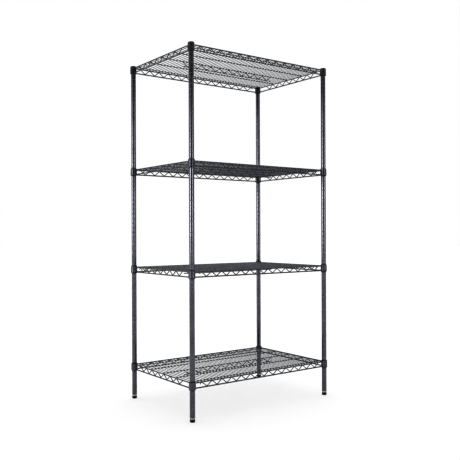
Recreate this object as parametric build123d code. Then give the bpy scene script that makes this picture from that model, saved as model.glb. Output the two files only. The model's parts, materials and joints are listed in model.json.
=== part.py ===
from build123d import *
import math
import os

# Wire shelving rack: four grooved round posts, four identical welded wire shelves that sit on
# split tapered sleeves, and four levelling feet that screw out of the posts.
# Millimetres. +X runs along the long side, the front is -Y and +Z is up.
# The origin is on the floor, at the centre of the four feet.

# ---- posts ----
POST_SPACING_X = 880.0
POST_SPACING_Y = 576.0
POST_OD = 25.4
POST_WALL = 1.4
POST_BOTTOM_Z = 20.0
POST_TOP_Z = 1816.0
GROOVE_PITCH = 25.4
GROOVE_WIDTH = 2.6
GROOVE_DEPTH = 0.6
GROOVE_COUNT = 70
TOP_GROOVE_Z = 1798.4
POST_RADIUS = POST_OD / 2
POST_BORE_RADIUS = POST_RADIUS - POST_WALL

# ---- shelves: how many grooves below the top one each shelf's sleeves are clipped ----
SHELF_GROOVES_DOWN = {
    "top_shelf": 0,
    "upper_shelf": 22,
    "lower_shelf": 43,
    "bottom_shelf": 64,
}

# ---- corner collars, conical inside so that they wedge on the sleeves; heights from the groove ----
COLLAR_HEIGHT = 35.0
COLLAR_WALL = 1.8
COLLAR_BORE_BOTTOM_RADIUS = 15.4
COLLAR_TAPER = 0.02
COLLAR_EDGE_ROUND = 0.5
SLEEVE_HALF_HEIGHT = 21.5
SLEEVE_BORE_RADIUS = POST_RADIUS + 0.05
SLEEVE_TO_COLLAR_GAP = 0.06
SLEEVE_BEVEL_GAP = 0.3
SLEEVE_BEVEL_RADIUS = 13.6
SLEEVE_TOP_EDGE = 0.9
SLEEVE_SPLIT = 0.5
SLEEVE_SPLIT_ANGLE = 45.0
RIDGE_HALF_WIDTH = 0.9
RIDGE_HEIGHT = 0.5

# ---- shelf wires ----
RIM_WIRE_RADIUS = 2.9
RIM_TOP_Z = 11.7
RIM_DROP = 25.4
RIM_END_RADIUS = 15.9
DECK_WIRE_RADIUS = 1.6
DECK_PITCH = 20.05
DECK_COUNT = 43
RUNNER_RADIUS = 2.0
RUNNER_POSITIONS_Y = (-250.0, -125.0, 0.0, 125.0, 250.0)
TRUSS_WIRE_RADIUS = 2.0
TRUSS_PITCH = 3 * DECK_PITCH
TRUSS_BEND_RADIUS = 6.0
TRUSS_STUB = 14.0
TRUSS_APEX_DROP = 2.6
LONG_TRUSS_START = -382.5
LONG_TRUSS_BOTTOMS = 13
SHORT_TRUSS_START = -222.3
SHORT_TRUSS_BOTTOMS = 7
CENTRE_TRUSS_BOTTOMS = 10
CENTRE_CHORD_DROP = 24.5
WELD_SINK = 0.3

# ---- post caps ----
CAP_RADIUS = 12.5
CAP_RIM_HEIGHT = 1.2
CAP_DOME_HEIGHT = 1.8
CAP_PLUG_LENGTH = 14.0
CAP_PLUG_WALL = 1.6
PLUG_GAP = 0.1

# ---- levelling feet, with a 3/8 in - 16 thread ----
STUD_RADIUS = 4.7625
THREAD_GAP = 0.08
INSERT_FLANGE_HEIGHT = 5.5
INSERT_BODY_HEIGHT = 28.0
GLIDE_RADIUS = 12.5
GLIDE_HEIGHT = 13.0
GLIDE_BASE = 3.5
GLIDE_CAVITY_RADIUS = 8.6
GLIDE_CAVITY_HEIGHT = 6.1
GLIDE_NECK_RADIUS = 5.2
GLIDE_EDGE_ROUND = 2.5
GLIDE_TOP_ROUND = 0.8
BOLT_HEAD_ACROSS_FLATS = 14.3
BOLT_HEAD_HEIGHT = 5.5
BOLT_HEAD_GAP = 0.05
BOLT_TOP_Z = 58.0
EDGE_CHAMFER = 0.8

HALF_X = POST_SPACING_X / 2
HALF_Y = POST_SPACING_Y / 2
CORNERS = {
    "front_left": (-HALF_X, -HALF_Y),
    "front_right": (HALF_X, -HALF_Y),
    "back_left": (-HALF_X, HALF_Y),
    "back_right": (HALF_X, HALF_Y),
}
FROM_BELOW = (Align.CENTER, Align.CENTER, Align.MIN)


def turned(*edges):
    """A solid of revolution about Z from edges that close a loop in the XZ plane."""
    return revolve(Face(Wire(list(edges))), Axis.Z)


def turned_polygon(points):
    """A solid of revolution about Z from (radius, height) corners."""
    outline = [(radius, 0, height) for radius, height in points]
    return revolve(Face(Wire.make_polygon(outline)), Axis.Z)


def rod(start, end, radius):
    """A straight round wire between two points."""
    along = Vector(*end) - Vector(*start)
    place = Plane(origin=start, z_dir=along)
    return place * Cylinder(radius, along.length, align=FROM_BELOW)


def bent_wire(points, radius, bend_radius):
    """A round wire that follows the points, with its bends rounded."""
    path = FilletPolyline(*points, radius=bend_radius)
    section = Plane(origin=path @ 0, z_dir=path % 0) * Circle(radius)
    return sweep(section, path=path)


# ---- the pieces that stay put: posts, caps, inserts and sleeves ----


def post():
    """Straight tube, with a shallow locating groove around it at every pitch."""
    edges = [Line((POST_BORE_RADIUS, 0, POST_BOTTOM_Z), (POST_RADIUS, 0, POST_BOTTOM_Z))]
    reached = POST_BOTTOM_Z
    for step in reversed(range(GROOVE_COUNT)):
        middle = TOP_GROOVE_Z - step * GROOVE_PITCH
        low = middle - GROOVE_WIDTH / 2
        high = middle + GROOVE_WIDTH / 2
        edges.append(Line((POST_RADIUS, 0, reached), (POST_RADIUS, 0, low)))
        deepest = (POST_RADIUS - GROOVE_DEPTH, 0, middle)
        edges.append(ThreePointArc((POST_RADIUS, 0, low), deepest, (POST_RADIUS, 0, high)))
        reached = high
    edges.append(Line((POST_RADIUS, 0, reached), (POST_RADIUS, 0, POST_TOP_Z)))
    edges.append(Line((POST_RADIUS, 0, POST_TOP_Z), (POST_BORE_RADIUS, 0, POST_TOP_Z)))
    edges.append(Line((POST_BORE_RADIUS, 0, POST_TOP_Z), (POST_BORE_RADIUS, 0, POST_BOTTOM_Z)))
    return turned(*edges)


def post_cap():
    """Hollow plug with a low domed head that covers the end of the tube."""
    plug_radius = POST_BORE_RADIUS - PLUG_GAP
    hollow_radius = plug_radius - CAP_PLUG_WALL
    plug_end = POST_TOP_Z - CAP_PLUG_LENGTH
    rim_top = POST_TOP_Z + CAP_RIM_HEIGHT
    dome_radius = (CAP_RADIUS**2 + CAP_DOME_HEIGHT**2) / (2 * CAP_DOME_HEIGHT)
    crown = rim_top + CAP_DOME_HEIGHT
    halfway = CAP_RADIUS / 2
    halfway_z = crown - dome_radius + math.sqrt(dome_radius**2 - halfway**2)
    corners = [
        (0, 0, POST_TOP_Z),
        (hollow_radius, 0, POST_TOP_Z),
        (hollow_radius, 0, plug_end),
        (plug_radius, 0, plug_end),
        (plug_radius, 0, POST_TOP_Z),
        (CAP_RADIUS, 0, POST_TOP_Z),
        (CAP_RADIUS, 0, rim_top),
    ]
    edges = [Line(a, b) for a, b in zip(corners, corners[1:])]
    edges.append(ThreePointArc((CAP_RADIUS, 0, rim_top), (halfway, 0, halfway_z), (0, 0, crown)))
    edges.append(Line((0, 0, crown), (0, 0, POST_TOP_Z)))
    return turned(*edges)


def foot_insert():
    """Threaded insert: a flange as wide as the post, and a plug pressed up into the tube."""
    bore = STUD_RADIUS + THREAD_GAP
    plug_radius = POST_BORE_RADIUS - PLUG_GAP
    flange_z = POST_BOTTOM_Z - INSERT_FLANGE_HEIGHT
    plug_z = POST_BOTTOM_Z + INSERT_BODY_HEIGHT
    return turned_polygon(
        [
            (bore, flange_z),
            (POST_RADIUS - EDGE_CHAMFER / 2, flange_z),
            (POST_RADIUS, flange_z + EDGE_CHAMFER / 2),
            (POST_RADIUS, POST_BOTTOM_Z),
            (plug_radius, POST_BOTTOM_Z),
            (plug_radius, plug_z - EDGE_CHAMFER),
            (plug_radius - EDGE_CHAMFER, plug_z),
            (bore, plug_z),
        ]
    )


def collar_bore_radius(height):
    """Radius of the collar's conical bore at a height above the groove."""
    return COLLAR_BORE_BOTTOM_RADIUS - COLLAR_TAPER * (height + COLLAR_HEIGHT / 2)


def sleeve_halves():
    """Two half shells that clip round the post, with a ridge inside that drops into a groove."""
    top_cone_z = SLEEVE_HALF_HEIGHT - SLEEVE_TOP_EDGE
    bevel_z = -COLLAR_HEIGHT / 2 - SLEEVE_BEVEL_GAP
    low_cone = collar_bore_radius(bevel_z) - SLEEVE_TO_COLLAR_GAP
    top_cone = collar_bore_radius(top_cone_z) - SLEEVE_TO_COLLAR_GAP
    ridge_low = (SLEEVE_BORE_RADIUS, 0, -RIDGE_HALF_WIDTH)
    ridge_crest = (SLEEVE_BORE_RADIUS - RIDGE_HEIGHT, 0, 0)
    ridge_high = (SLEEVE_BORE_RADIUS, 0, RIDGE_HALF_WIDTH)
    corners = [
        ridge_high,
        (SLEEVE_BORE_RADIUS, 0, SLEEVE_HALF_HEIGHT),
        (top_cone - SLEEVE_TOP_EDGE, 0, SLEEVE_HALF_HEIGHT),
        (top_cone, 0, top_cone_z),
        (low_cone, 0, bevel_z),
        (SLEEVE_BEVEL_RADIUS, 0, -SLEEVE_HALF_HEIGHT),
        (SLEEVE_BORE_RADIUS, 0, -SLEEVE_HALF_HEIGHT),
        ridge_low,
    ]
    edges = [Line(a, b) for a, b in zip(corners, corners[1:])]
    edges.append(ThreePointArc(ridge_low, ridge_crest, ridge_high))
    cut_length = 4 * POST_OD
    cut = Rot(0, 0, SLEEVE_SPLIT_ANGLE) * Box(cut_length, SLEEVE_SPLIT, cut_length)
    return (turned(*edges) - cut).solids()


# ---- the pieces of one shelf, with heights from the groove that carries it ----


def collars():
    """Four conical corner collars."""
    low, high = -COLLAR_HEIGHT / 2, COLLAR_HEIGHT / 2
    bore_low, bore_high = collar_bore_radius(low), collar_bore_radius(high)
    ring = turned_polygon(
        [
            (bore_low, low),
            (bore_low + COLLAR_WALL, low),
            (bore_high + COLLAR_WALL, high),
            (bore_high, high),
        ]
    )
    ring = fillet(ring.edges().filter_by(GeomType.CIRCLE), COLLAR_EDGE_ROUND)
    return [Pos(x, y, 0) * ring for x, y in CORNERS.values()]


def rim_wires(height):
    """Four straight rim wires between the collars, at one height."""
    end_x = HALF_X - RIM_END_RADIUS
    end_y = HALF_Y - RIM_END_RADIUS
    wires = []
    for side in (-1, 1):
        x, y = side * HALF_X, side * HALF_Y
        wires.append(rod((-end_x, y, height), (end_x, y, height), RIM_WIRE_RADIUS))
        wires.append(rod((x, -end_y, height), (x, end_y, height), RIM_WIRE_RADIUS))
    return wires


def deck_height():
    """Centre of the deck wires, whose tops are level with the top rim's."""
    return RIM_TOP_Z + RIM_WIRE_RADIUS - DECK_WIRE_RADIUS


def runner_height():
    """Centre of the runners, which the deck wires are welded down onto."""
    return deck_height() - DECK_WIRE_RADIUS - RUNNER_RADIUS + WELD_SINK


def deck_wires():
    """Thin wires from front to back, butted against the inside of the top rim."""
    end = HALF_Y - RIM_WIRE_RADIUS + 2 * WELD_SINK
    height = deck_height()
    first = -DECK_PITCH * (DECK_COUNT - 1) / 2
    places = [first + i * DECK_PITCH for i in range(DECK_COUNT)]
    return [rod((x, -end, height), (x, end, height), DECK_WIRE_RADIUS) for x in places]


def runners():
    """Long wires under the deck, from one short side of the top rim to the other."""
    end = HALF_X - RIM_WIRE_RADIUS + 2 * WELD_SINK
    height = runner_height()
    return [rod((-end, y, height), (end, y, height), RUNNER_RADIUS) for y in RUNNER_POSITIONS_Y]


def truss_offset(rod_radius):
    """How far beside a rod the truss runs, so that its bends are welded to the rod's side."""
    reach = rod_radius + TRUSS_WIRE_RADIUS - WELD_SINK
    return math.sqrt(reach**2 - TRUSS_APEX_DROP**2)


def zigzag(start, bottoms, top, bottom, with_stub):
    """(distance, height) corners of a truss wire that bends at the heights top and bottom."""
    half_pitch = TRUSS_PITCH / 2
    depth = top - bottom
    between_arcs = depth - 2 * TRUSS_BEND_RADIUS
    slope = math.atan2(between_arcs, half_pitch)
    slope += math.asin(2 * TRUSS_BEND_RADIUS / math.hypot(half_pitch, between_arcs))
    overshoot = TRUSS_BEND_RADIUS * (1 / math.cos(slope) - 1)
    run_in = overshoot / math.tan(slope)
    corners = []
    if with_stub:
        foot = (start - TRUSS_STUB * math.cos(slope), top + overshoot - TRUSS_STUB * math.sin(slope))
        corners += [foot, (start, top + overshoot)]
    else:
        corners.append((start + run_in, top))
    for i in range(bottoms):
        middle = start + (2 * i + 1) * half_pitch
        corners.append((middle, bottom - overshoot))
        if i < bottoms - 1:
            corners.append((middle + half_pitch, top + overshoot))
    end = start + 2 * bottoms * half_pitch
    corners.append((end - run_in, top))
    return corners


def edge_trusses():
    """A zigzag wire on the inside of each side, joining its top rim wire to its bottom one."""
    top = RIM_TOP_Z - TRUSS_APEX_DROP
    bottom = RIM_TOP_Z - RIM_DROP + TRUSS_APEX_DROP
    inset = truss_offset(RIM_WIRE_RADIUS)
    long_corners = zigzag(LONG_TRUSS_START, LONG_TRUSS_BOTTOMS, top, bottom, True)
    short_corners = zigzag(SHORT_TRUSS_START, SHORT_TRUSS_BOTTOMS, top, bottom, True)
    front_path = [(s, inset - HALF_Y, z) for s, z in long_corners]
    left_path = [(inset - HALF_X, -s, z) for s, z in short_corners]
    front = bent_wire(front_path, TRUSS_WIRE_RADIUS, TRUSS_BEND_RADIUS)
    left = bent_wire(left_path, TRUSS_WIRE_RADIUS, TRUSS_BEND_RADIUS)
    half_turn = Rot(0, 0, 180)
    return [front, left, half_turn * front, half_turn * left]


def centre_truss():
    """A zigzag wire and a chord under the middle runner, which stiffen the deck."""
    height = runner_height()
    chord_z = height - CENTRE_CHORD_DROP
    top, bottom = height - TRUSS_APEX_DROP, chord_z + TRUSS_APEX_DROP
    half_length = CENTRE_TRUSS_BOTTOMS * TRUSS_PITCH / 2
    beside = truss_offset(RUNNER_RADIUS)
    corners = zigzag(-half_length, CENTRE_TRUSS_BOTTOMS, top, bottom, False)
    wave_path = [(s, beside, z) for s, z in corners]
    wave = bent_wire(wave_path, TRUSS_WIRE_RADIUS, TRUSS_BEND_RADIUS)
    chord = rod((-half_length, 0, chord_z), (half_length, 0, chord_z), RUNNER_RADIUS)
    return [wave, chord]


# ---- levelling foot ----


def glide():
    """Round plastic foot, moulded round the bolt's head so that the bolt can turn in it."""
    body = Cylinder(GLIDE_RADIUS, GLIDE_HEIGHT, align=FROM_BELOW)
    body = fillet(body.edges().group_by(Axis.Z)[0], GLIDE_EDGE_ROUND)
    body = fillet(body.edges().group_by(Axis.Z)[-1], GLIDE_TOP_ROUND)
    cavity = Pos(0, 0, GLIDE_BASE) * Cylinder(
        GLIDE_CAVITY_RADIUS, GLIDE_CAVITY_HEIGHT, align=FROM_BELOW
    )
    neck = Pos(0, 0, GLIDE_BASE) * Cylinder(GLIDE_NECK_RADIUS, GLIDE_HEIGHT, align=FROM_BELOW)
    return body - cavity - neck


def levelling_bolt():
    """Stud with a hexagonal head, held by its head in the glide."""
    head_z = GLIDE_BASE + BOLT_HEAD_GAP
    hexagon = RegularPolygon(BOLT_HEAD_ACROSS_FLATS / 2, 6, major_radius=False)
    head = Pos(0, 0, head_z) * extrude(hexagon, BOLT_HEAD_HEIGHT)
    stud = Pos(0, 0, head_z) * Cylinder(STUD_RADIUS, BOLT_TOP_Z - head_z, align=FROM_BELOW)
    stud = chamfer(stud.edges().group_by(Axis.Z)[-1], EDGE_CHAMFER)
    return head + stud


def solids_of(pieces):
    """Every solid in a list of shapes."""
    return [solid for piece in pieces for solid in piece.solids()]


def write_node(name, pieces):
    """Write one node, whose separate solids stay separate."""
    solids = solids_of(pieces)
    shape = solids[0] if len(solids) == 1 else Compound(children=solids)
    export_step(shape, os.path.join("parts", f"{name}.step"))


def main():
    os.makedirs("parts", exist_ok=True)

    per_corner = {
        "post": post(),
        "post_cap": post_cap(),
        "foot_insert": foot_insert(),
        "levelling_bolt": levelling_bolt(),
        "foot_glide": glide(),
    }
    for corner, (x, y) in CORNERS.items():
        for piece_name, piece in per_corner.items():
            write_node(f"{piece_name}_{corner}", [Pos(x, y, 0) * piece])

    halves = sleeve_halves()
    shelf_pieces = {
        "split_sleeves": [Pos(x, y, 0) * half for x, y in CORNERS.values() for half in halves],
        "collars": collars(),
        "rim_top": rim_wires(RIM_TOP_Z),
        "rim_bottom": rim_wires(RIM_TOP_Z - RIM_DROP),
        "edge_trusses": edge_trusses(),
        "deck_wires": deck_wires(),
        "runners": runners(),
        "centre_truss": centre_truss(),
    }
    for shelf, grooves_down in SHELF_GROOVES_DOWN.items():
        groove_z = TOP_GROOVE_Z - grooves_down * GROOVE_PITCH
        for piece_name, pieces in shelf_pieces.items():
            raised = [Pos(0, 0, groove_z) * piece for piece in pieces]
            write_node(f"{shelf}_{piece_name}", raised)


main()
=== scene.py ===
import bmesh
import bpy
import json
import math
import random
from mathutils import Matrix, Vector


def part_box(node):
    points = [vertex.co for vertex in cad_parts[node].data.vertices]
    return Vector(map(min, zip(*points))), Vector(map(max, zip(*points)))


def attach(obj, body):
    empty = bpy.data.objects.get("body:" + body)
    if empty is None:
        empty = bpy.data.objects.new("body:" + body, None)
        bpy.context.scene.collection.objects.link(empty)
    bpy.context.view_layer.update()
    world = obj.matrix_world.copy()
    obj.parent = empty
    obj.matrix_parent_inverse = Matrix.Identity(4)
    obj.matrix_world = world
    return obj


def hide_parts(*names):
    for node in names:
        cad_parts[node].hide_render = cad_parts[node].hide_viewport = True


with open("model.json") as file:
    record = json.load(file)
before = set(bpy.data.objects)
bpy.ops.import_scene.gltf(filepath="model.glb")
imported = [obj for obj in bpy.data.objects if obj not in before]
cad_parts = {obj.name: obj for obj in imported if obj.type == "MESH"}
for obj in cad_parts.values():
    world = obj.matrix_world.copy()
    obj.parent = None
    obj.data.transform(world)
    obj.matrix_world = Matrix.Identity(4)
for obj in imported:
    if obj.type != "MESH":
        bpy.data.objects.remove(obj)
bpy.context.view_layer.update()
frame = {"nodes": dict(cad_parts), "record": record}

MM = 0.001
CORNERS = ("front_left", "front_right", "back_left", "back_right")
SHELVES = ("top_shelf", "upper_shelf", "lower_shelf", "bottom_shelf")
GROOVE_PITCH = 25.4 * MM
GROOVE_HALF_WIDTH = 1.3 * MM


def node_middle(node):
    """Centre of a CAD node's box."""
    low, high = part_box(node)
    return (low + high) / 2


TOP_GROOVE_Z = node_middle("top_shelf_split_sleeves").z


# ---------------------------------------------------------------- shader helpers


def add(tree, kind, inputs=None, **settings):
    """Adds a node, sets its properties, and links or fills its inputs."""
    made = tree.nodes.new(kind)
    for name, value in settings.items():
        setattr(made, name, value)
    for name, value in (inputs or {}).items():
        if isinstance(value, bpy.types.NodeSocket):
            tree.links.new(value, made.inputs[name])
        else:
            made.inputs[name].default_value = value
    return made


def maths(tree, operation, first, second=0.0, clamp=False):
    """One arithmetic step between numbers or sockets."""
    made = add(tree, "ShaderNodeMath", {0: first, 1: second}, operation=operation, use_clamp=clamp)
    return made.outputs[0]


def remap(tree, value, low, high, out_low=0.0, out_high=1.0):
    """Value from low..high to out_low..out_high, held at both ends."""
    inputs = {"Value": value, "From Min": low, "From Max": high, "To Min": out_low, "To Max": out_high}
    return add(tree, "ShaderNodeMapRange", inputs).outputs["Result"]


def noise(tree, coords, scale, detail=3.0, stretch=(1, 1, 1)):
    """Noise with features of about 1 / scale metres, stretched where stretch is under 1."""
    if stretch != (1, 1, 1):
        coords = add(tree, "ShaderNodeMapping", {"Vector": coords, "Scale": stretch}).outputs[0]
    return add(tree, "ShaderNodeTexNoise", {"Vector": coords, "Scale": scale, "Detail": detail}).outputs[0]


def blend_colours(tree, factor, first, second):
    """Mix of two colours, each a socket or an RGB triple."""
    mix = add(tree, "ShaderNodeMix", data_type="RGBA")
    tree.links.new(factor, mix.inputs["Factor"])
    for value, socket in ((first, mix.inputs[6]), (second, mix.inputs[7])):
        if isinstance(value, bpy.types.NodeSocket):
            tree.links.new(value, socket)
        else:
            socket.default_value = (*value, 1.0)
    return mix.outputs[2]


def bump(tree, height, depth, strength=1.0):
    """Normal of a surface raised by height times depth metres."""
    inputs = {"Height": height, "Distance": depth, "Strength": strength}
    return add(tree, "ShaderNodeBump", inputs).outputs["Normal"]


def start_material(name):
    """A material with an empty principled shader: (material, tree, shader, object coordinates)."""
    material = bpy.data.materials.new(name)
    material.use_nodes = True
    tree = material.node_tree
    coords = add(tree, "ShaderNodeTexCoord").outputs["Object"]
    return material, tree, tree.nodes["Principled BSDF"], coords


def connect(tree, shader, **inputs):
    """Feeds the principled shader."""
    for name, value in inputs.items():
        socket = shader.inputs[name.replace("_", " ").title().replace("Ior", "IOR")]
        if isinstance(value, bpy.types.NodeSocket):
            tree.links.new(value, socket)
        else:
            socket.default_value = value


# ---------------------------------------------------------------- materials

# Coat: noise scales are features per metre.
CLOUD_SCALE = 14.0
FLAKE_SCALE = 2600.0
FLAKE_STRENGTH = 0.2
SCUFF_SCALE = 260.0
SCUFF_STRETCH = (1, 1, 0.06)
SCUFF_PATCH_SCALE = 7.0
SCUFF_STRENGTH = 0.35
SCUFF_ROUGHNESS = 0.15
PATINA_SCALE = 45.0
PEEL_SCALE = 420.0
GRAIN_SCALE = 2200.0
GRAIN_SHARE = 0.1
PEEL_DEPTH = 0.003 * MM
COAT_METALLIC = 0.92
RIM_WEAR_WIDTH = 0.5 * MM
RIM_WEAR = 0.15
RIM_WEAR_SCALE = 180.0

# Moulded plastic
FLOW_SCALE = 30.0
RUB_SCALE = 150.0
RUB_STRETCH = (1, 1, 0.3)
RUB_STRENGTH = 0.5
RUB_LIGHTER = 2.2
GLOSS_SCALE = 90.0
SPARK_SCALE = 2400.0
SPARK_DEPTH = 0.04 * MM

# Zinc plate
ZINC_CLOUD_SCALE = 120.0
ZINC_SPOT_SCALE = 700.0
ZINC_SPOT_STRENGTH = 0.6
ZINC_RING_SCALE = 900.0
ZINC_RING_STRETCH = (0.08, 0.08, 4.0)
ZINC_RING_DEPTH = 0.02 * MM


def epoxy_coat(name, dark, light, worn, rough_low, rough_high, wear):
    """Thermoset coat: slight orange peel, cloudy tone, faint handling scuffs, and wear where wear says."""
    material, tree, shader, coords = start_material(name)
    tone = remap(tree, noise(tree, coords, CLOUD_SCALE, 5.0), 0.3, 0.7)
    colour = blend_colours(tree, tone, dark, light)
    flake = remap(tree, noise(tree, coords, FLAKE_SCALE, 2.0), 0.55, 0.8, 0.0, FLAKE_STRENGTH)
    colour = blend_colours(tree, flake, colour, light)
    scuff = remap(tree, noise(tree, coords, SCUFF_SCALE, 4.0, SCUFF_STRETCH), 0.62, 0.8)
    patch = remap(tree, noise(tree, coords, SCUFF_PATCH_SCALE, 2.0), 0.5, 0.7)
    marks = maths(tree, "MULTIPLY", scuff, patch)
    marks = maths(tree, "MULTIPLY", marks, SCUFF_STRENGTH)
    if wear is not None:
        marks = maths(tree, "ADD", marks, wear(tree, coords), clamp=True)
    colour = blend_colours(tree, marks, colour, worn)
    rough = remap(tree, noise(tree, coords, PATINA_SCALE, 4.0), 0.3, 0.7, rough_low, rough_high)
    rough = maths(tree, "ADD", rough, maths(tree, "MULTIPLY", marks, SCUFF_ROUGHNESS), clamp=True)
    peel = noise(tree, coords, PEEL_SCALE, 2.0)
    grain = noise(tree, coords, GRAIN_SCALE, 2.0)
    height = maths(tree, "ADD", peel, maths(tree, "MULTIPLY", grain, GRAIN_SHARE))
    connect(
        tree, shader,
        base_color=colour,
        roughness=rough,
        normal=bump(tree, height, PEEL_DEPTH),
        metallic=COAT_METALLIC,
    )
    return material


def groove_wear(tree, coords):
    """Thin coat on the two rims of every groove of a post."""
    height = add(tree, "ShaderNodeSeparateXYZ", {0: coords}).outputs["Z"]
    steps = maths(tree, "DIVIDE", maths(tree, "SUBTRACT", height, TOP_GROOVE_Z), GROOVE_PITCH)
    nearest = maths(tree, "ROUND", steps)
    away = maths(tree, "ABSOLUTE", maths(tree, "SUBTRACT", steps, nearest))
    away = maths(tree, "MULTIPLY", away, GROOVE_PITCH)
    from_rim = maths(tree, "ABSOLUTE", maths(tree, "SUBTRACT", away, GROOVE_HALF_WIDTH))
    rim = remap(tree, from_rim, 0.0, RIM_WEAR_WIDTH, RIM_WEAR, 0.0)
    broken = remap(tree, noise(tree, coords, RIM_WEAR_SCALE, 3.0), 0.4, 0.62)
    return maths(tree, "MULTIPLY", rim, broken)


def moulded_plastic(name, dark, light, roughness):
    """Moulded plastic with a fine spark-eroded grain and faint flow marks."""
    material, tree, shader, coords = start_material(name)
    tone = remap(tree, noise(tree, coords, FLOW_SCALE, 4.0), 0.3, 0.7)
    rub = remap(tree, noise(tree, coords, RUB_SCALE, 4.0, RUB_STRETCH), 0.6, 0.8, 0.0, RUB_STRENGTH)
    colour = blend_colours(tree, tone, dark, light)
    colour = blend_colours(tree, rub, colour, tuple(RUB_LIGHTER * c for c in light))
    rough = remap(tree, noise(tree, coords, GLOSS_SCALE, 3.0), 0.3, 0.7, roughness - 0.07, roughness + 0.08)
    grain = add(tree, "ShaderNodeTexVoronoi", {"Vector": coords, "Scale": SPARK_SCALE}).outputs["Distance"]
    connect(
        tree, shader,
        base_color=colour,
        roughness=rough,
        normal=bump(tree, grain, SPARK_DEPTH),
    )
    return material


def zinc_plate(name):
    """Bright zinc plate: turned rings, cloudy passivation and a little dulling."""
    material, tree, shader, coords = start_material(name)
    cloud = remap(tree, noise(tree, coords, ZINC_CLOUD_SCALE, 4.0), 0.35, 0.65)
    colour = blend_colours(tree, cloud, (0.40, 0.41, 0.44), (0.56, 0.56, 0.55))
    spots = remap(tree, noise(tree, coords, ZINC_SPOT_SCALE, 3.0), 0.64, 0.75, 0.0, ZINC_SPOT_STRENGTH)
    colour = blend_colours(tree, spots, colour, (0.24, 0.24, 0.25))
    rings = noise(tree, coords, ZINC_RING_SCALE, 2.0, ZINC_RING_STRETCH)
    rough = remap(tree, rings, 0.3, 0.7, 0.26, 0.44)
    connect(
        tree, shader,
        base_color=colour,
        roughness=rough,
        metallic=1.0,
        normal=bump(tree, rings, ZINC_RING_DEPTH),
    )
    return material


def make_materials():
    """One material for each of the record's slots."""
    return {
        "post_coat": epoxy_coat(
            "post_coat", (0.132, 0.133, 0.150), (0.165, 0.167, 0.186), (0.34, 0.34, 0.37),
            0.13, 0.20, groove_wear,
        ),
        "shelf_coat": epoxy_coat(
            "shelf_coat", (0.105, 0.108, 0.120), (0.140, 0.144, 0.158), (0.30, 0.30, 0.33),
            0.22, 0.34, None,
        ),
        "sleeve_plastic": moulded_plastic("sleeve_plastic", (0.012, 0.012, 0.014), (0.02, 0.02, 0.022), 0.46),
        "cap_plastic": moulded_plastic("cap_plastic", (0.014, 0.014, 0.016), (0.024, 0.024, 0.026), 0.42),
        "glide_plastic": moulded_plastic("glide_plastic", (0.02, 0.02, 0.027), (0.034, 0.034, 0.042), 0.5),
        "zinc": zinc_plate("zinc"),
    }


def paint_frame(materials):
    """Gives every CAD node the material of its slot in the record."""
    for part in frame["record"]["subparts"]:
        node = frame["nodes"][part["node"]]
        node.data.materials.clear()
        node.data.materials.append(materials[part["material_slot"]])


# ---------------------------------------------------------------- welds

POST_X = 440.0 * MM
POST_Y = 288.0 * MM
RIM_RADIUS = 2.9 * MM
RIM_TOP = 11.7 * MM
RIM_BOTTOM = -13.7 * MM
COLLAR_RADIUS = 17.0 * MM
DECK_RADIUS = 1.6 * MM
DECK_PITCH = 20.05 * MM
DECK_COUNT = 43
DECK_Z = RIM_TOP + RIM_RADIUS - DECK_RADIUS
RUNNER_RADIUS = 2.0 * MM
RUNNERS_Y = (-250 * MM, -125 * MM, 0.0, 125 * MM, 250 * MM)
RUNNER_Z = DECK_Z - DECK_RADIUS - RUNNER_RADIUS
TRUSS_RADIUS = 2.0 * MM
TRUSS_PITCH = 3 * DECK_PITCH
TRUSS_DROP = 2.6 * MM
CHORD_DROP = 24.5 * MM
LONG_TRUSS = (-382.5 * MM, 13)
SHORT_TRUSS = (-222.3 * MM, 7)
CENTRE_BOTTOMS = 10
BEAD_SIZE_SPREAD = 0.14
BEAD_LUMPS = 0.09
BEAD_SEED = 7

# Half sizes of the beads: along the joined wires, across them and out of them.
DECK_BEAD = (2.5 * MM, 2.3 * MM, 0.9 * MM)
DECK_RIM_BEAD = (2.3 * MM, 1.9 * MM, 1.1 * MM)
RUNNER_RIM_BEAD = (2.8 * MM, 2.2 * MM, 1.2 * MM)
TRUSS_BEAD = (4.2 * MM, 1.5 * MM, 0.9 * MM)
COLLAR_BEAD = (4.0 * MM, 3.9 * MM, 1.3 * MM)
COLLAR_TAPER = 0.02

ALONG_X = Vector((1, 0, 0))
ALONG_Y = Vector((0, 1, 0))
UP = Vector((0, 0, 1))


def sphere_parts():
    """Corner directions and faces of a round bead."""
    ball = bmesh.new()
    bmesh.ops.create_icosphere(ball, subdivisions=2, radius=1.0)
    ball.verts.index_update()
    points = [v.co.normalized() for v in ball.verts]
    faces = [[v.index for v in face.verts] for face in ball.faces]
    ball.free()
    return points, faces


class Beads:
    """Collects lumpy weld beads into one mesh."""

    def __init__(self, seed):
        self.random = random.Random(seed)
        self.points, self.faces = sphere_parts()
        self.all_points, self.all_faces = [], []

    def add(self, place, along, normal, size):
        """A bead centred at place, with half sizes along, across and normal to the joined wires."""
        length, width, depth = size
        across = normal.cross(along)
        start = len(self.all_points)
        grow = 1 + self.random.uniform(-BEAD_SIZE_SPREAD, BEAD_SIZE_SPREAD)
        for point in self.points:
            lump = grow * (1 + self.random.uniform(-BEAD_LUMPS, BEAD_LUMPS))
            x, y, z = point * lump
            self.all_points.append(place + along * x * length + across * y * width + normal * z * depth)
        self.all_faces += [[start + i for i in face] for face in self.faces]

    def mesh(self, name):
        mesh = bpy.data.meshes.new(name)
        mesh.from_pydata(self.all_points, [], self.all_faces)
        mesh.shade_smooth()
        return mesh


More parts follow.
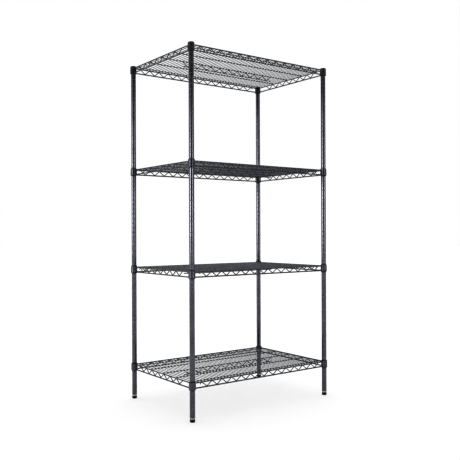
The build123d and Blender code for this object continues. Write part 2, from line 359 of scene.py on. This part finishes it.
def deck_beads(beads):
    """Welds of the deck wires to the runners and to the top rim."""
    first = -DECK_PITCH * (DECK_COUNT - 1) / 2
    for i in range(DECK_COUNT):
        x = first + i * DECK_PITCH
        for y in RUNNERS_Y:
            beads.add(Vector((x, y, DECK_Z - DECK_RADIUS)), ALONG_X, UP, DECK_BEAD)
        for side in (-1, 1):
            place = Vector((x, side * (POST_Y - RIM_RADIUS), DECK_Z))
            beads.add(place, ALONG_X, ALONG_Y, DECK_RIM_BEAD)
    for y in RUNNERS_Y:
        for side in (-1, 1):
            place = Vector((side * (POST_X - RIM_RADIUS), y, RUNNER_Z + DECK_RADIUS / 2))
            beads.add(place, ALONG_Y, ALONG_X, RUNNER_RIM_BEAD)


def truss_beads(beads, to_place, along, inward, start, bottoms, rim_radius, top, bottom):
    """Welds at the bends of a zigzag wire, on the sides of the wires above and below it."""
    for i in range(2 * bottoms + 1):
        low = i % 2 == 1
        rise = 1 if low else -1
        sideways = math.sqrt(rim_radius**2 - TRUSS_DROP**2 / 4)
        normal = (inward * sideways + UP * rise * TRUSS_DROP / 2).normalized()
        distance = start + i * TRUSS_PITCH / 2
        place = to_place(distance) + UP * (bottom if low else top) + normal * rim_radius
        beads.add(place, along, normal, TRUSS_BEAD)


def edge_beads(beads):
    """Welds of the four edge trusses and of the centre truss."""
    for turn in (1, -1):
        start, bottoms = LONG_TRUSS
        truss_beads(
            beads, lambda s: Vector((turn * s, -turn * POST_Y, 0)), ALONG_X, ALONG_Y * turn,
            start, bottoms, RIM_RADIUS, RIM_TOP, RIM_BOTTOM,
        )
        start, bottoms = SHORT_TRUSS
        truss_beads(
            beads, lambda s: Vector((-turn * POST_X, -turn * s, 0)), ALONG_Y, ALONG_X * turn,
            start, bottoms, RIM_RADIUS, RIM_TOP, RIM_BOTTOM,
        )
    start = -CENTRE_BOTTOMS * TRUSS_PITCH / 2
    truss_beads(
        beads, lambda s: Vector((s, 0, 0)), ALONG_X, ALONG_Y,
        start, CENTRE_BOTTOMS, RUNNER_RADIUS, RUNNER_Z, RUNNER_Z - CHORD_DROP,
    )


def collar_beads(beads):
    """Fillet welds where the rim wires run into the collars."""
    for side_x in (-1, 1):
        for side_y in (-1, 1):
            for height in (RIM_TOP, RIM_BOTTOM):
                lean = COLLAR_RADIUS - height * COLLAR_TAPER
                corner = Vector((side_x * POST_X, side_y * POST_Y, height))
                for out in (ALONG_X * -side_x, ALONG_Y * -side_y):
                    beads.add(corner + out * lean, UP, out, COLLAR_BEAD)


def make_welds(material):
    """The welds of every shelf, which ride on that shelf."""
    beads = Beads(BEAD_SEED)
    deck_beads(beads)
    edge_beads(beads)
    collar_beads(beads)
    mesh = beads.mesh("shelf_welds")
    mesh.materials.append(material)
    for shelf in SHELVES:
        welds = bpy.data.objects.new(f"{shelf}_welds", mesh.copy())
        bpy.context.scene.collection.objects.link(welds)
        welds.location.z = node_middle(f"{shelf}_split_sleeves").z
        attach(welds, shelf)


# ---------------------------------------------------------------- levelling bolts

THREAD_PITCH = 1.5875 * MM
THREAD_RADIUS = 4.7625 * MM
THREAD_ROOT = 3.80 * MM
THREAD_SIDES = 28
THREAD_PROFILE = (THREAD_ROOT, THREAD_ROOT, 4.28 * MM, THREAD_RADIUS, THREAD_RADIUS, 4.28 * MM)
HEAD_BOTTOM = 3.55 * MM
HEAD_TOP = 9.05 * MM
HEAD_CORNER = 14.3 * MM / math.sqrt(3)
HEAD_CHAMFER = 0.7 * MM
STUD_TOP = 58.0 * MM
STUD_LEAD = 1.2 * MM


def thread_grid():
    """Points and faces of the stud: a helical surface, closed by a flat end."""
    steps = len(THREAD_PROFILE)
    rows = int((STUD_TOP - HEAD_TOP) / THREAD_PITCH + 2) * steps
    points, faces = [], []
    for i in range(THREAD_SIDES):
        angle = 2 * math.pi * i / THREAD_SIDES
        for j in range(rows):
            height = HEAD_TOP - THREAD_PITCH + THREAD_PITCH * (j / steps + i / THREAD_SIDES)
            radius = THREAD_PROFILE[j % steps]
            to_end = STUD_TOP - height
            if to_end < STUD_LEAD:
                radius = min(radius, THREAD_ROOT - 0.3 * MM + max(to_end, 0.0))
            height = min(max(height, HEAD_TOP - 0.5 * MM), STUD_TOP)
            points.append((radius * math.cos(angle), radius * math.sin(angle), height))
    for i in range(THREAD_SIDES):
        for j in range(rows - 1):
            if i < THREAD_SIDES - 1:
                faces.append((i * rows + j, (i + 1) * rows + j, (i + 1) * rows + j + 1, i * rows + j + 1))
            elif j + 1 + steps < rows:
                faces.append((i * rows + j, j + steps, j + steps + 1, i * rows + j + 1))
    tip = len(points)
    points.append((0, 0, STUD_TOP))
    ends = [i * rows + rows - 1 for i in range(THREAD_SIDES)]
    faces += [(a, b, tip) for a, b in zip(ends, ends[1:] + ends[:1])]
    return points, faces


def head_grid(first):
    """Points and faces of the hexagonal head, its corners eased at both ends."""
    levels = (
        (HEAD_BOTTOM, HEAD_CORNER - HEAD_CHAMFER),
        (HEAD_BOTTOM + HEAD_CHAMFER / 2, HEAD_CORNER),
        (HEAD_TOP - HEAD_CHAMFER / 2, HEAD_CORNER),
        (HEAD_TOP, HEAD_CORNER - HEAD_CHAMFER),
    )
    points, faces = [], []
    for height, radius in levels:
        for k in range(6):
            angle = math.pi / 3 * k
            points.append((radius * math.cos(angle), radius * math.sin(angle), height))
    for level in range(3):
        for k in range(6):
            a, b = first + 6 * level + k, first + 6 * level + (k + 1) % 6
            faces.append((a, b, b + 6, a + 6))
    faces.append(tuple(first + k for k in reversed(range(6))))
    faces.append(tuple(first + 18 + k for k in range(6)))
    return points, faces


def make_bolts(material):
    """Threaded levelling bolts in place of the plain ones."""
    points, faces = thread_grid()
    head_points, head_faces = head_grid(len(points))
    mesh = bpy.data.meshes.new("threaded_bolt")
    mesh.from_pydata(points + head_points, [], faces + head_faces)
    mesh.validate()
    mesh.materials.append(material)
    for corner in CORNERS:
        node = f"levelling_bolt_{corner}"
        bolt = bpy.data.objects.new(f"threaded_bolt_{corner}", mesh.copy())
        bpy.context.scene.collection.objects.link(bolt)
        bolt.location = (*node_middle(node).xy, 0.0)
        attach(bolt, f"bolt_{corner}")
        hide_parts(node)


# ---------------------------------------------------------------- studio

# The view gamma darkens mid tones, so that thin wires read as dark as they do in the reference view.
VIEW_GAMMA = 0.5
FLOOR_SIZE = 60.0
FLOOR_SHADE = 0.2
FLOOR_GLOW = 0.695
FLOOR_BOUNCE = 0.9
ROOM_LIGHT = 0.34
DARK_LIGHT = 0.03
# Turns, half widths and softness are in degrees, turns to the right of the camera. Tops, the overhead
# and the backdrop are ranges of a direction's rise or reach over which the light fades, then a strength.
DARK_ZONE = (24.0, 5.0)
STRIPS = ((-52.0, 20.0, 7.2), (46.0, 18.0, 4.8))
STRIP_SOFTNESS = 5.0
STRIP_TOP = (0.09, 0.24)
BACKDROP = (0.0, 0.35, 1.15)
OVERHEAD = (0.72, 0.92, 2.6)
CAMERA_PLACE = (-2.177, -2.9251, 0.9093)
CAMERA_YAW = 0.6356
CAMERA_PITCH = 0.0016
CAMERA_ROLL = -0.004
CAMERA_LENS = 51.52
CAMERA_SHIFT = (0.0070, 0.0021)

TO_CAMERA = Vector((-math.sin(CAMERA_YAW), -math.cos(CAMERA_YAW), 0.0))
TO_RIGHT = Vector((math.cos(CAMERA_YAW), -math.sin(CAMERA_YAW), 0.0))


def make_floor():
    """Pale floor. The camera sees it nearly white; the rack is lit by a greyer bounce from it."""
    mesh = bpy.data.meshes.new("floor")
    half = FLOOR_SIZE / 2
    corners = [(-half, -half, 0), (half, -half, 0), (half, half, 0), (-half, half, 0)]
    mesh.from_pydata(corners, [], [(0, 1, 2, 3)])
    floor = bpy.data.objects.new("floor", mesh)
    bpy.context.scene.collection.objects.link(floor)
    material, tree, shader, coords = start_material("floor")
    tree.nodes.remove(shader)
    seen = add(tree, "ShaderNodeLightPath").outputs["Is Camera Ray"]
    matte = add(tree, "ShaderNodeBsdfDiffuse", {"Color": (FLOOR_SHADE, FLOOR_SHADE, FLOOR_SHADE, 1)})
    glow = add(tree, "ShaderNodeEmission", {"Color": (1, 1, 1, 1), "Strength": FLOOR_GLOW})
    pale = add(tree, "ShaderNodeAddShader", {0: matte.outputs[0], 1: glow.outputs[0]})
    bounce = add(tree, "ShaderNodeBsdfDiffuse", {"Color": (FLOOR_BOUNCE, FLOOR_BOUNCE, FLOOR_BOUNCE, 1)})
    both = add(tree, "ShaderNodeMixShader", {0: seen, 1: bounce.outputs[0], 2: pale.outputs[0]})
    tree.links.new(both.outputs[0], tree.nodes["Material Output"].inputs["Surface"])
    floor.data.materials.append(material)


def towards(tree, flat, turn, half_width, softness):
    """1 where a level direction is within half_width degrees of turn degrees right of the camera."""
    turn = math.radians(turn)
    centre = TO_CAMERA * math.cos(turn) + TO_RIGHT * math.sin(turn)
    along = add(tree, "ShaderNodeVectorMath", {0: flat, 1: centre}, operation="DOT_PRODUCT")
    outer = math.cos(math.radians(half_width + softness))
    inner = math.cos(math.radians(half_width))
    return remap(tree, along.outputs["Value"], outer, inner)


def make_world():
    """White for the camera. For the rack: a grey room, a backdrop, two tall strips, an overhead light."""
    world = bpy.data.worlds.new("studio")
    bpy.context.scene.world = world
    world.use_nodes = True
    tree = world.node_tree
    direction = add(tree, "ShaderNodeTexCoord").outputs["Generated"]
    height = add(tree, "ShaderNodeSeparateXYZ", {0: direction}).outputs["Z"]
    flat = add(tree, "ShaderNodeVectorMath", {0: direction, 1: (1, 1, 0)}, operation="MULTIPLY")
    flat = add(tree, "ShaderNodeVectorMath", {0: flat.outputs[0]}, operation="NORMALIZE").outputs[0]
    low_down = remap(tree, height, *STRIP_TOP, 1.0, 0.0)
    dark = maths(tree, "MULTIPLY", towards(tree, flat, 0.0, *DARK_ZONE), low_down)
    light = remap(tree, dark, 0.0, 1.0, ROOM_LIGHT, DARK_LIGHT)
    for turn, half_width, strength in STRIPS:
        strip = towards(tree, flat, turn, half_width, STRIP_SOFTNESS)
        strip = maths(tree, "MULTIPLY", strip, low_down)
        light = maths(tree, "ADD", light, maths(tree, "MULTIPLY", strip, strength))
    behind = add(tree, "ShaderNodeVectorMath", {0: flat, 1: -TO_CAMERA}, operation="DOT_PRODUCT")
    start, full, strength = BACKDROP
    light = maths(tree, "ADD", light, remap(tree, behind.outputs["Value"], start, full, 0.0, strength))
    start, full, strength = OVERHEAD
    light = maths(tree, "ADD", light, remap(tree, height, start, full, 0.0, strength))
    paths = add(tree, "ShaderNodeLightPath")
    shown = add(tree, "ShaderNodeMix", data_type="FLOAT")
    tree.links.new(paths.outputs["Is Camera Ray"], shown.inputs["Factor"])
    tree.links.new(light, shown.inputs[2])
    shown.inputs[3].default_value = 1.0
    background = tree.nodes["Background"]
    background.inputs["Color"].default_value = (1, 1, 1, 1)
    tree.links.new(shown.outputs[0], background.inputs["Strength"])


def make_camera():
    """Camera at the eye height and corner that the reference view has."""
    data = bpy.data.cameras.new("camera")
    data.sensor_width = 36.0
    data.lens = CAMERA_LENS
    data.shift_x, data.shift_y = CAMERA_SHIFT
    data.clip_end = 100.0
    camera = bpy.data.objects.new("camera", data)
    bpy.context.scene.collection.objects.link(camera)
    flat = Vector((math.sin(CAMERA_YAW), math.cos(CAMERA_YAW), 0.0))
    forward = flat * math.cos(CAMERA_PITCH) + Vector((0, 0, math.sin(CAMERA_PITCH)))
    level_up = TO_RIGHT.cross(forward)
    right = math.cos(CAMERA_ROLL) * TO_RIGHT + math.sin(CAMERA_ROLL) * level_up
    up = math.cos(CAMERA_ROLL) * level_up - math.sin(CAMERA_ROLL) * TO_RIGHT
    turn = Matrix((right, up, -forward)).transposed()
    camera.matrix_world = Matrix.Translation(CAMERA_PLACE) @ turn.to_4x4()
    bpy.context.scene.camera = camera


materials = make_materials()
paint_frame(materials)
make_welds(materials["shelf_coat"])
make_bolts(materials["zinc"])
make_floor()
make_world()
make_camera()
bpy.context.scene.view_settings.view_transform = "Standard"
bpy.context.scene.view_settings.gamma = VIEW_GAMMA
